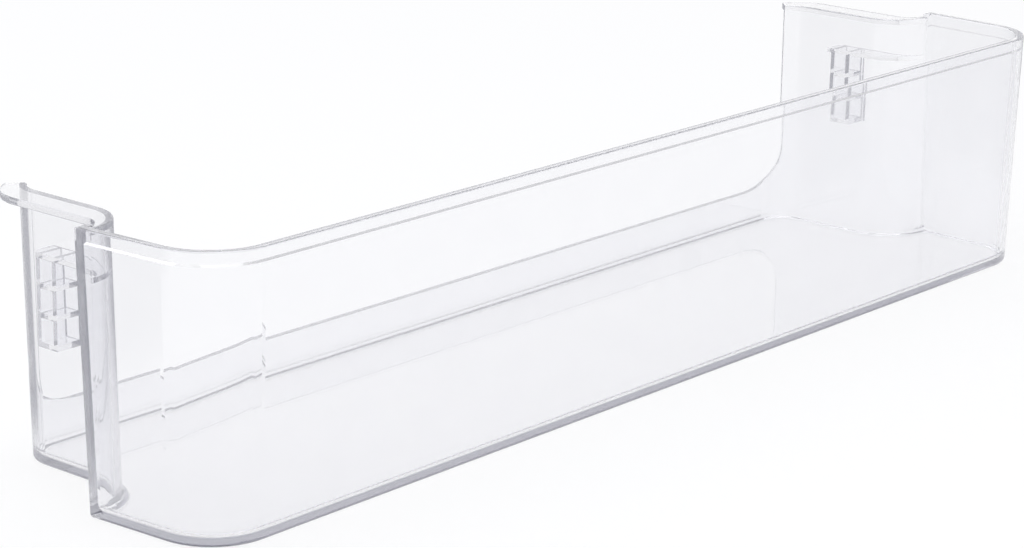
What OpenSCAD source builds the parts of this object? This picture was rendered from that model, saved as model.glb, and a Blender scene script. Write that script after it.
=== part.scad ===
// Clear door shelf of a refrigerator: one moulded tray with a high front, a low back and two ears.
// The ears stand in from the ends, and their flanges and ledges slide over ribs of the door's lining.
// Origin: middle of the underside, half way back. X runs along the shelf, Y back into the door.
// The modules work from the middle of the back edge, and the whole moulding is then moved forward.

/* [Overall] */
// Length of the front face, where its line meets the lines of the sides at the rim
length = 480; // [380:1:600]
// Depth of the wide part, from the front face to the shoulders
front_depth = 58.6; // [50:0.2:90]
// Depth of the narrow part between the ears, from the shoulders to the back
ear_depth = 62.6; // [58:0.2:90]
// Height of the rim above the underside
height = 97.4; // [80:0.2:130]

/* [Plan] */
// Angle by which each side opens towards the shoulders, in degrees
side_flare = 3.1; // [0:0.1:5]
// Width of each shoulder, from the side's face in to the ear's face
shoulder_w = 22.2; // [20:0.1:32]
// Outer radius of the two front corners
front_r = 24.4; // [18:0.2:34]
// Outer radius of the two back corners
back_r = 16; // [14.5:0.1:22]
// Outer radius of the sweep in which each ear turns out into its shoulder
bend_r = 16.5; // [8:0.5:18]

/* [Walls] */
// Thickness of the walls
wall = 2.5; // [1.8:0.1:3.5]
// Thickness of the floor
floor_t = 2.5; // [1.8:0.1:3.5]
// Lean of every wall, in degrees, so that the shelf leaves its mould
draft = 1.2; // [0.5:0.1:1.6]
// Radius of the rounded edge under the floor
under_r = 1.8; // [0.8:0.1:2.2]
// Radius of the inside corner between floor and walls
floor_r = 3; // [1:0.1:4]
// Height of the thicker band along the rim
rim_h = 4.6; // [3:0.1:8]
// Extra thickness of the rim band, on the inside
rim_extra = 0.8; // [0.3:0.1:1.5]
// Radius of the broken edges along the top of the walls
edge_r = 0.7; // [0.2:0.1:0.8]

/* [Back] */
// Height of the low back wall above the underside
back_h = 15.7; // [8:0.1:30]
// Radius of the sweep from the low back wall up to the upright end of each ear
sweep_r = 18.4; // [12:0.1:30]
// Turn of each ear round its back corner, from its straight face to its upright end, in degrees
ear_turn = 45; // [30:1:55]

/* [Ears] */
// How far the ears' tops stay below the rim
ear_drop = 1.2; // [0:0.1:3]
// Width of the flange and the ledge outside each ear
flange_w = 9.2; // [6:0.1:11]
// Thickness of the top flange
flange_t = 2.5; // [2:0.1:4]
// Radius of the flange's back corner, in plan
flange_r = 18; // [12:0.5:22]
// Radius with which the flange and the ledge run out along the shoulder
runout_r = 8; // [3:0.1:8.5]

/* [Brackets] */
// Depth from the top of the ear down to the top of the ledge
ledge_drop = 16.4; // [12:0.1:22]
// How far the ledge reaches back past the bracket
ledge_over = 2; // [0:0.1:4]
// Radius of the ledge's back corner, in plan
ledge_r = 4; // [1:0.1:5]
// Thickness of the ledge, the uprights and the cross ribs
rib_t = 1.8; // [1.2:0.1:2.5]
// Distance from the back of the shelf to the bracket
bracket_y = 28.5; // [24:0.5:32]
// Depth of the bracket, along the ear
bracket_d = 9.6; // [7:0.1:12]
// Height of the bracket
bracket_h = 32; // [20:0.5:36]
// Number of cross ribs below the ledge
bracket_ribs = 3; // [1:1:5]

/* [Hidden] */
$fn = 96;
clear_plastic = [0.90, 0.93, 0.97, 0.45];
// How far a piece reaches into its neighbour, and how far a fillet's curve dips into the faces it joins
overlap = 0.5;
dip = 0.002;

depth = front_depth + ear_depth;
lean = tan(draft);
foot_lean = height * lean;
rim_t = wall + rim_extra;
ear_top = height - ear_drop;
ledge_z = ear_top - ledge_drop;

// Places in plan are kept to this step, so that neighbouring pieces share their ends exactly
step = 0.01;
function on_step(v) = round(v / step) * step;

// Angle close to the one asked for whose cosine and sine stay true when they are written with six digits
function true_turn(angle) = [for (i = [0:3000])
    let (c = floor(cos(angle) * 1e6 - i + 0.5) / 1e6, places = sin(angle) < 0.1 ? 1e7 : 1e6)
    let (s = round(sqrt(1 - c * c) * places) / places)
    if (abs(c * c + s * s - 1) < 1e-9) atan2(s, c)][0];
side_turn = true_turn(side_flare);
end_turn = true_turn(ear_turn);

// Outer faces of the side, the ear and the flange at the rim
shoulder_x = on_step(length / 2 + front_depth * tan(side_turn));
ear_x = shoulder_x - shoulder_w;
flange_x = ear_x + flange_w;

// The floor plate starts where the inside corners end, and the walls' feet reach in over its edge
plate_in = ceil((wall + foot_lean + floor_r) * 10) / 10;
foot_in = plate_in + overlap;

// Depth that the back wall and its lean take up, and how far out along it the opening's sweeps start
back_t = wall + foot_lean;
sweep_x = ear_x - back_r - (sweep_r - (back_r - back_t) * cos(end_turn)) / sin(end_turn);

// X of a point that lies at depth y and a distance r inside the side's face
function side_x(y, r) = length / 2 + (sin(side_turn) * (y + depth) - r) / cos(side_turn);
side_normal = [cos(side_turn), -sin(side_turn)];
front_c = [on_step(side_x(-depth + front_r, front_r)), -depth + front_r];
back_c = [ear_x - back_r, -back_r];
bend_c = [ear_x + bend_r, -ear_depth + bend_r];

// X of an outer or inner face at height z, from its place at the rim
function face_at(face_x, z) = face_x - (height - z) * lean;

// What lies between two lines that meet at a corner and a circle that touches both, and a little beyond
module fillet_2d(corner, centre, r, touch_a, touch_b) {
    beyond = 1 + overlap / r;
    difference() {
        polygon([centre, for (p = [touch_a, corner, touch_b]) centre + beyond * (p - centre)]);
        translate(centre) circle(r + dip);
    }
}

// Fillet on the inner side of a leaning face, above a level line
module fillet_above(face_x, level, r) {
    touch_z = level + r * (1 - sin(draft));
    centre = [face_at(face_x, touch_z) - r * cos(draft), level + r];
    fillet_2d([face_at(face_x, level), level], centre, r,
        [face_at(face_x, touch_z), touch_z], [centre[0], level]);
}

// Rounding of the top edge of a wall: side is 1 for the outer face and -1 for the inner one
module top_edge(face_x, top, side) {
    out = [cos(draft), -sin(draft)] * side * edge_r;
    centre = [face_at(face_x, top - edge_r) - side * edge_r / cos(draft), top - edge_r];
    fillet_2d([face_at(face_x, top), top], centre, edge_r, centre + out, [centre[0], top]);
}

// Everything inside a wall's outer face, which is near x = 0 with the inside towards -x
module filled_section(top) {
    difference() {
        polygon([[face_at(0, 0), 0], [face_at(0, top), top], [-front_depth, top], [-front_depth, 0]]);
        fillet_above(0, 0, under_r);
        top_edge(0, top, 1);
    }
}

// The room inside a wall, above the floor
module room_section(top, band) {
    inner_x = band ? -rim_t : -wall;
    band_z = top - rim_h;
    band_foot = band
        ? [[face_at(-rim_t, band_z), band_z],
            [face_at(-wall, band_z - rim_extra), band_z - rim_extra]]
        : [];
    difference() {
        polygon(concat([[-front_depth - overlap, floor_t], [-front_depth - overlap, top + overlap],
            [face_at(inner_x, top), top + overlap], [face_at(inner_x, top), top]], band_foot,
            [[face_at(-wall, floor_t), floor_t]]));
        fillet_above(-wall, floor_t, floor_r);
    }
    top_edge(inner_x, top, -1);
}

// Section through a wall and its foot in the floor
module wall_section(top, band) {
    difference() {
        filled_section(top);
        room_section(top, band);
        translate([-front_depth - overlap, -overlap])
            square([front_depth + overlap - foot_in, floor_t + 2 * overlap]);
    }
}

// Straight stretch of a section from p to q, with the inside of the shelf on the right of the way
module run(p, q) {
    way = q - p;
    translate(p) rotate(atan2(way[1], way[0]) + 90) rotate([90, 0, 0])
        linear_extrude(norm(way)) children();
}

// Rounded outer corner of radius r around a centre, from one heading to the next
module outer_corner(centre, r, from, to, top, band) {
    translate(centre) rotate(from) rotate_extrude(angle = to - from)
        translate([r, 0]) wall_section(top, band);
}

// Sweep whose centre lies outside the shelf
module inner_corner(centre, r, from, to, top, band) {
    translate(centre) rotate(from) rotate_extrude(angle = to - from)
        translate([r, 0]) mirror([1, 0]) wall_section(top, band);
}

// Turned frame of the side, at the centre of the front corner
module at_side() {
    translate(front_c) rotate(-side_turn) children();
}

// Straight stretch of a section along the side, from the front corner to past the shoulder
module side_run() {
    at_side() translate([front_r, front_depth, 0]) rotate([90, 0, 0])
        linear_extrude(front_depth) children();
}

// Front corner, cut off in the plane in which the side starts
module front_corner() {
    size = front_r + overlap;
    intersection() {
        outer_corner(front_c, front_r, -90, 0, height, true);
        at_side() translate([0, -size, -overlap]) cube([size, size, height + 2 * overlap]);
    }
}

// Sharp corner of the shoulder, where the face of each wall cuts off the other
module shoulder_corner() {
    past_back = [shoulder_x + foot_in, -ear_depth];
    intersection() {
        run([bend_c[0], -ear_depth], past_back) wall_section(height, true);
        side_run() filled_section(height);
    }
    intersection() {
        side_run() wall_section(height, true);
        run([0, -ear_depth], past_back) filled_section(height);
    }
}

// Walls of one end, from the back corner round to the front corner
module end_walls() {
    outer_corner(back_c, back_r, 0, 90, ear_top, false);
    run([ear_x, -back_r], [ear_x, bend_c[1]]) wall_section(ear_top, false);
    inner_corner(bend_c, bend_r, 180, 270, ear_top, false);
    shoulder_corner();
    front_corner();
}

// Middle of the floor, in plan: its edge lies under the ends of the walls' feet, all the way round
module floor_plate_2d() {
    i = plate_in;
    // Its round corners stand out a little, so that no straight edge passes them by
    out = overlap / 10;
    front_in = front_c + (front_r - i) * side_normal;
    shoulder_in = [side_x(-ear_depth - i, i), -ear_depth - i];
    polygon([[-front_c[0], -depth + i], [front_c[0], -depth + i], front_in, shoulder_in,
        [-shoulder_in[0], shoulder_in[1]], [-front_in[0], front_in[1]]]);
    front_y = shoulder_in[1] - overlap;
    translate([-back_c[0], front_y]) square([2 * back_c[0], -i - front_y]);
    translate([-ear_x + i, front_y]) square([2 * (ear_x - i), -back_r - front_y]);
    for (s = [0, 1]) mirror([s, 0]) {
        translate(back_c) circle(back_r - i + out);
        translate(front_c) circle(front_r - i + out);
        fillet_2d([ear_x - i, -ear_depth - i], bend_c, bend_r + i,
            [bend_c[0], -ear_depth - i], [ear_x - i, bend_c[1]]);
    }
}

// What lies within the middle of one end's walls, in plan: plates outside the ear end at it
module within_walls_2d() {
    m = wall / 2;
    translate([0, -depth]) square([ear_x - m, depth - back_r]);
    translate([0, -depth]) square([back_c[0], depth - m]);
    translate(back_c) circle(back_r - m);
    fillet_2d([ear_x - m, -ear_depth - m], bend_c, bend_r + m,
        [bend_c[0], -ear_depth - m], [ear_x - m, bend_c[1]]);
}

// Plan of a plate outside the ear: its back corner is a child, and it runs out on the shoulder's face,
// which leans in by the plate's underside
module ear_plate_2d(underside, straight_y) {
    face_y = -ear_depth - (height - underside) * lean;
    difference() {
        union() {
            translate([back_c[0], face_y - overlap])
                square([flange_x - back_c[0], straight_y - face_y + overlap]);
            fillet_2d([flange_x, face_y], [flange_x + runout_r, face_y + runout_r], runout_r,
                [flange_x + runout_r, face_y], [flange_x, face_y + runout_r]);
            children();
        }
        within_walls_2d();
    }
}

// Top flange: it follows the ear round its back corner, in a wider curve
module flange() {
    underside = ear_top - flange_t;
    translate([0, 0, underside]) linear_extrude(flange_t) ear_plate_2d(underside, -flange_r)
        translate([flange_x - flange_r, -flange_r]) circle(flange_r);
}

// Ledge above the bracket, which runs forward to the shoulder
module ledge() {
    corner = [flange_x - ledge_r, ledge_over - bracket_y - ledge_r];
    underside = ledge_z - rib_t;
    translate([0, 0, underside]) linear_extrude(rib_t) ear_plate_2d(underside, corner[1]) {
        translate(corner) circle(ledge_r);
        translate([back_c[0], corner[1]]) square([corner[0] - back_c[0], ledge_r]);
    }
}

// Ladder-shaped bracket under the ledge: two uprights joined by cross ribs, open to the outside
module bracket() {
    root_x = face_at(ear_x - wall / 2, ledge_z - bracket_h / 2);
    out = flange_x - root_x;
    pitch = (bracket_h - rib_t) / bracket_ribs;
    for (y = [bracket_y + rib_t, bracket_y + bracket_d])
        translate([root_x, -y, ledge_z - bracket_h]) cube([out, rib_t, bracket_h]);
    for (i = [1:bracket_ribs])
        translate([root_x, -bracket_y - bracket_d, ledge_z - rib_t - i * pitch])
            cube([out, bracket_d, rib_t]);
}

// Side of the opening's end: it rises in a sweep to the upright end of the ear
module sweep_2d() {
    far = sweep_r + back_t;
    translate([sweep_r, back_h]) square([far - sweep_r, height]);
    translate([0, back_h + sweep_r]) square([far, height]);
    translate([sweep_r, back_h + sweep_r]) circle(sweep_r);
}

// Opening above the low back wall, cut square to each back corner at its ends
module back_opening() {
    translate([-sweep_x, -back_t, back_h]) cube([2 * sweep_x, back_t + overlap, height]);
    for (s = [0, 1]) mirror([s, 0, 0])
        translate(back_c) rotate(end_turn) translate([-sweep_r - back_r, 0, 0])
            rotate([90, 0, 90]) linear_extrude(sweep_r + 2 * back_r + flange_w) sweep_2d();
}

// The whole shelf is one moulding
module door_shelf() {
    color(clear_plastic) translate([0, depth / 2, 0]) difference() {
        union() {
            linear_extrude(floor_t) floor_plate_2d();
            run([front_c[0], -depth], [-front_c[0], -depth]) wall_section(height, true);
            run([-back_c[0], 0], [back_c[0], 0]) wall_section(ear_top, false);
            for (s = [0, 1]) mirror([s, 0, 0]) {
                end_walls();
                flange();
                ledge();
                bracket();
            }
        }
        back_opening();
    }
}

door_shelf();
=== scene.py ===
# %% [markdown]
# # A clear door shelf
# The object is one injection moulding of clear plastic: the shelf that holds bottles in a refrigerator's
# door. Its shape comes whole from the imported CAD model, so this script adds what a shape alone lacks:
# the plastic, the floor, the light and the camera. We load the model first, and keep its box.

# %% Load the model
import math

import bpy
from mathutils import Matrix, Vector


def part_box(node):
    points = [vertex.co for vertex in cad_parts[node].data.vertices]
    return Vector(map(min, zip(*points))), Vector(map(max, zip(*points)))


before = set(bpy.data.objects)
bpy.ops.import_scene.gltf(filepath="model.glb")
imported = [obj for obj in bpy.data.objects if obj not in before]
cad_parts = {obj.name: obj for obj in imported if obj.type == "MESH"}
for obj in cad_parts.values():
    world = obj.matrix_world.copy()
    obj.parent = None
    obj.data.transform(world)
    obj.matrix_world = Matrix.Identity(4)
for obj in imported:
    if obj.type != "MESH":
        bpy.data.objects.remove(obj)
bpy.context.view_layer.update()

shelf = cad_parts["door_shelf"]
lowest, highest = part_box("door_shelf")
print("shelf in mm:", [round((b - a) * 1000, 1) for a, b in zip(lowest, highest)])

# %% [markdown]
# ## A camera where the photographer stood
# The straight edges of the shelf, measured in the photograph, give the place of the camera and the way it
# looks. It stands a little under a metre off the front left corner, looks down by sixteen degrees and is
# turned by one degree. We write the place in metres, and turn the field of view, which was measured in
# pixels of the photograph, into a lens.

# %% Camera
PHOTO_WIDTH_PX = 1024
FOCAL_PX = 2997
SENSOR_MM = 36.0
CAMERA_SPOT = Vector((-0.8412, -0.6917, 0.3476))
CAMERA_LOOK = Vector((0.7307, 0.6226, -0.2799))
CAMERA_ROLL = math.radians(0.98)


def make_camera():
    lens = bpy.data.cameras.new("photo_camera")
    lens.sensor_width = SENSOR_MM
    lens.lens = SENSOR_MM * FOCAL_PX / PHOTO_WIDTH_PX
    camera = bpy.data.objects.new("photo_camera", lens)
    turn = CAMERA_LOOK.to_track_quat("-Z", "Y").to_matrix() @ Matrix.Rotation(CAMERA_ROLL, 3, "Z")
    camera.matrix_world = Matrix.Translation(CAMERA_SPOT) @ turn.to_4x4()
    bpy.context.scene.collection.objects.link(camera)
    bpy.context.scene.camera = camera
    return camera


camera = make_camera()
print("lens in mm:", round(camera.data.lens, 1))

# %% [markdown]
# ## Shader maths that reads like maths
# A pattern in a material is arithmetic on sockets. This small class lets us write it with plain
# operators, and each operator adds one Math node. Any other node comes from one method, which takes the
# node's type, its settings, and what goes into its sockets, by number or by name.

# %% Node helpers
class Value:
    """An output socket of a node tree, with the operators that a pattern needs."""

    def __init__(self, tree, socket):
        self.tree, self.socket = tree, socket

    @classmethod
    def node(cls, tree, kind, settings=None, inputs=None, output=0):
        """Adds a node, sets it up, fills its sockets, and gives back one of its outputs, if it has any."""
        made = tree.nodes.new(kind)
        for name, value in (settings or {}).items():
            setattr(made, name, value)
        for place, value in (inputs or {}).items():
            if isinstance(value, Value):
                tree.links.new(value.socket, made.inputs[place])
            else:
                made.inputs[place].default_value = value
        return cls(tree, made.outputs[output]) if made.outputs else None

    def math(self, operation, other=0.0, other_first=False):
        pair = (other, self) if other_first else (self, other)
        return Value.node(self.tree, "ShaderNodeMath", {"operation": operation}, dict(enumerate(pair)))

    def __add__(self, other):
        return self.math("ADD", other)

    def __sub__(self, other):
        return self.math("SUBTRACT", other)

    def __rsub__(self, other):
        return self.math("SUBTRACT", other, other_first=True)

    def __mul__(self, other):
        return self.math("MULTIPLY", other)

    def __rpow__(self, other):
        return self.math("POWER", other, other_first=True)

    __radd__ = __add__
    __rmul__ = __mul__


def new_material(name):
    material = bpy.data.materials.new(name)
    material.use_nodes = True
    material.node_tree.nodes.clear()
    return material, material.node_tree


# %% [markdown]
# Three small helpers follow. The first asks what kind of ray has met a surface, the second blends two
# colours, and the third is a soft step from 0 to 1 between two values.

# %% Small helpers
def ray(tree, question):
    return Value.node(tree, "ShaderNodeLightPath", output=question)


def blend(tree, share, first, second):
    first_colour, second_colour, colour_out = 6, 7, 2
    return Value.node(tree, "ShaderNodeMix", {"data_type": "RGBA"},
                      {0: share, first_colour: first, second_colour: second}, colour_out)


def soft_step(value, start, end):
    return Value.node(value.tree, "ShaderNodeMapRange", {"interpolation_type": "SMOOTHSTEP"},
                      {"Value": value, "From Min": start, "From Max": end})


# %% [markdown]
# ## Clear plastic
# Clear polystyrene bends light about as much as heavy glass does, and that bending draws its bright and
# dark edges. We could fake a clear part with alpha, but then no edge would show: the real look comes from
# real bending in a closed shape. The plastic also takes up a little light on its way, which we hardly see
# through a wall of 2.5 mm, but which turns the edges grey, where we look along the wall. It takes up
# slightly less blue, and so the grey is a cool one.

# %% What the plastic takes up
IOR = 1.585
TAKEN_UP_PER_M = (8.0, 8.0, 6.8)
DENSITY = 50.0


def take_up(tree):
    """Absorption in the body of the plastic: the node takes up its density times one minus its colour."""
    tint = [1 - amount / DENSITY for amount in TAKEN_UP_PER_M]
    return Value.node(tree, "ShaderNodeVolumeAbsorption", {},
                      {"Color": (*tint, 1.0), "Density": DENSITY})


# %% [markdown]
# ## The moulded surface
# A moulded face is never quite flat. It cools with a faint, slow ripple, and handling leaves a fine haze.
# The ripple goes into the normal and the haze into the roughness and the colour, all of them very weak: we
# feel them in how lines wander and soften, and never see them as a pattern.

# %% Surface of the moulding
RIPPLES_PER_M = 14.0
HAZE_PER_M = 90.0
RIPPLE_DEPTH = 0.001
CLEAREST = (0.985, 0.985, 0.992, 1.0)
HAZIEST = (0.955, 0.955, 0.968, 1.0)
CLEAR_SHARE = 0.97


def moulded_surface(tree):
    place = Value.node(tree, "ShaderNodeTexCoord", output="Object")
    ripple = Value.node(tree, "ShaderNodeTexNoise", {},
                        {"Vector": place, "Scale": RIPPLES_PER_M, "Detail": 1.0})
    haze = Value.node(tree, "ShaderNodeTexNoise", {},
                      {"Vector": place, "Scale": HAZE_PER_M, "Detail": 4.0})
    return Value.node(tree, "ShaderNodeBsdfPrincipled", {}, {
        "Base Color": blend(tree, haze, CLEAREST, HAZIEST),
        "Roughness": 0.005 + 0.03 * haze,
        "IOR": IOR,
        "Transmission Weight": CLEAR_SHARE,
        "Normal": Value.node(tree, "ShaderNodeBump", {},
                             {"Strength": 0.03, "Distance": RIPPLE_DEPTH, "Height": ripple}),
    })


# %% [markdown]
# ## Light that has to get out
# Two kinds of ray need help. A ray towards a lamp is stopped by glass, and the shadow would be as dark as
# that of a solid thing, so the shelf lets those rays straight through. And a ray that the inside of a wall
# throws back again and again ends as black, once the renderer follows it no further. The real edges are a
# clear grey, because that light does come out in the end, so we let it leave just before that limit.

# %% Clear plastic
LETS_BY = (0.95, 0.95, 0.96, 1.0)
MOST_MIRRORINGS = 4


def mix_shaders(tree, share, first, second):
    return Value.node(tree, "ShaderNodeMixShader", {}, {0: share, 1: first, 2: second})


def clear_plastic():
    material, tree = new_material("clear_plastic_finish")
    moulded = moulded_surface(tree)
    straight = Value.node(tree, "ShaderNodeBsdfTransparent")
    to_lamps = Value.node(tree, "ShaderNodeBsdfTransparent", {}, {"Color": LETS_BY})
    caught = ray(tree, "Glossy Depth").math("GREATER_THAN", MOST_MIRRORINGS - 0.5)
    thrown_back = mix_shaders(tree, caught, moulded, straight)
    followed = mix_shaders(tree, ray(tree, "Is Reflection Ray"), moulded, thrown_back)
    surface = mix_shaders(tree, ray(tree, "Is Shadow Ray"), followed, to_lamps)
    Value.node(tree, "ShaderNodeOutputMaterial", {}, {"Surface": surface, "Volume": take_up(tree)})
    return material


plastic = clear_plastic()
shelf.data.materials.clear()
shelf.data.materials.append(plastic)
print("plastic:", plastic.name, "with", len(plastic.node_tree.nodes), "nodes")

# %% [markdown]
# ## Straight on white, round the corner grey
# The ground is plain white, and looked at straight through the plastic it stays white. What reaches the
# eye by way of several mirror images, from face to face inside a wall, is given a painted shade instead. So
# the stage has one rule: from the second mirroring on, its white fades by a step towards a painted grey
# each time. This painted shade is what gives the clear plastic its grey edges.

# %% White that fades to a painted grey
WHITE = (1.0, 1.0, 1.0, 1.0)
# Painted shade: the grey that mirror images of the white stage fade towards, for the plastic's grey edges.
PAINTED_EDGE_GREY = (0.28, 0.28, 0.31, 1.0)
KEPT_EACH_TIME = 0.78


def white_kept_by_painted_fade(tree):
    """Share of the white that is left after the mirrorings of this ray; the rest is painted grey, a painted
    shade.
    """
    return KEPT_EACH_TIME ** (ray(tree, "Glossy Depth") - 1).math("MAXIMUM")


def white_or_painted_grey(tree, share):
    return blend(tree, share, PAINTED_EDGE_GREY, WHITE)


def seen_ray(tree):
    """1 for rays of the eye, of mirror images and of what shows through the plastic."""
    kinds = [ray(tree, f"Is {kind} Ray") for kind in ("Camera", "Glossy", "Transmission")]
    return (kinds[0] + kinds[1] + kinds[2]).math("MINIMUM", 1.0)


# %% [markdown]
# ## A white table
# The table takes the shelf's soft shadow, and most of what the eye sees of it is its own white, at a
# strength of one. The ears and sides mirror the table behind the shelf, its near part low down and its far
# part high up. In mirror images only, the table back there is painted darker, a painted shade, and so the
# tops of the ears and sides get a soft painted grey veil, while the front stays clear.

# %% Table
TABLE_SIZE = 12.0
OWN_SHARE = 0.7
CLEARANCE = 0.0003
NEAR, FAR = -0.02, 0.06
PAINTED_SHADE_FAR = 1.0
PAPER = (0.95, 0.95, 0.95, 1.0)


def way_behind_shelf(tree):
    place = Value.node(tree, "ShaderNodeTexCoord", output="Object")
    return Value.node(tree, "ShaderNodeSeparateXYZ", {}, {0: place}, output="Y") - highest[1]


def table_white():
    material, tree = new_material("white_table")
    mirrored = ray(tree, "Glossy Depth").math("MINIMUM", 1.0)
    # Painted shade: in mirror images only, the table behind the shelf is painted darker.
    painted_shade_behind = PAINTED_SHADE_FAR * mirrored * soft_step(way_behind_shelf(tree), NEAR, FAR)
    own_white_with_painted_shade = Value.node(tree, "ShaderNodeEmission", {},
                     {"Color": white_or_painted_grey(tree, white_kept_by_painted_fade(tree) * (1 - painted_shade_behind))})
    paper = Value.node(tree, "ShaderNodeBsdfDiffuse", {}, {"Color": PAPER})
    seen = mix_shaders(tree, OWN_SHARE * seen_ray(tree), paper, own_white_with_painted_shade)
    Value.node(tree, "ShaderNodeOutputMaterial", {}, {"Surface": seen})
    return material


def make_table():
    half = TABLE_SIZE / 2
    corners = [(x * half, y * half, -CLEARANCE) for x, y in ((-1, -1), (1, -1), (1, 1), (-1, 1))]
    mesh = bpy.data.meshes.new("table")
    mesh.from_pydata(corners, [], [(0, 1, 2, 3)])
    mesh.materials.append(table_white())
    table = bpy.data.objects.new("table", mesh)
    bpy.context.scene.collection.objects.link(table)
    return table


table = make_table()
print("table lies under the shelf by mm:", CLEARANCE * 1000)

# %% [markdown]
# ## The room
# The room gives an even, pale light, and shows itself as the same fading white. In what the eye and the
# mirror images see of it, a belt between the horizon and the ceiling is painted somewhat darker, a painted
# dark band that draws a fine line along the rounded edges on top.

# %% World
ROOM_LIGHT = (0.80, 0.81, 0.85, 1.0)
# Painted shade: how much darker the room's belt is painted where it is seen, though its light stays even.
PAINTED_BELT_SHADE = 0.4


def make_world():
    world = bpy.data.worlds.new("studio")
    world.use_nodes = True
    tree = world.node_tree
    tree.nodes.clear()
    direction = Value.node(tree, "ShaderNodeTexCoord", output="Generated")
    height = Value.node(tree, "ShaderNodeSeparateXYZ", {}, {0: direction}, output="Z")
    # Painted dark belt in the room as it is seen, not in the light it gives.
    painted_belt = soft_step(height, 0.3, 0.5) * (1 - soft_step(height, 0.7, 0.9))
    light = Value.node(tree, "ShaderNodeBackground", {}, {"Color": ROOM_LIGHT})
    seen = Value.node(tree, "ShaderNodeBackground", {},
                      {"Color": white_or_painted_grey(tree, white_kept_by_painted_fade(tree) * (1 - PAINTED_BELT_SHADE * painted_belt))})
    both = mix_shaders(tree, seen_ray(tree), light, seen)
    Value.node(tree, "ShaderNodeOutputWorld", {}, {"Surface": both})
    bpy.context.scene.world = world


make_world()
print("room light:", ROOM_LIGHT[:3])

# %% [markdown]
# ## Two soft lamps
# A large lamp above the camera's right and a weaker one behind the shelf give the soft shadow and the fine
# highlights along the rim. They are square sheets of light, as a photographer's softboxes are.

# %% Lamps
def lamp(name, spot, side, power):
    sheet = bpy.data.lights.new(name, "AREA")
    sheet.shape, sheet.size, sheet.energy = "SQUARE", side, power
    made = bpy.data.objects.new(name, sheet)
    aim = (-Vector(spot)).to_track_quat("-Z", "Y").to_matrix().to_4x4()
    made.matrix_world = Matrix.Translation(spot) @ aim
    bpy.context.scene.collection.objects.link(made)


lamp("key_softbox", spot=(-0.6, -1.2, 1.6), side=2.0, power=12)
lamp("back_softbox", spot=(-0.9, 1.2, 1.6), side=2.0, power=8)
bpy.context.scene.view_settings.view_transform = "Standard"
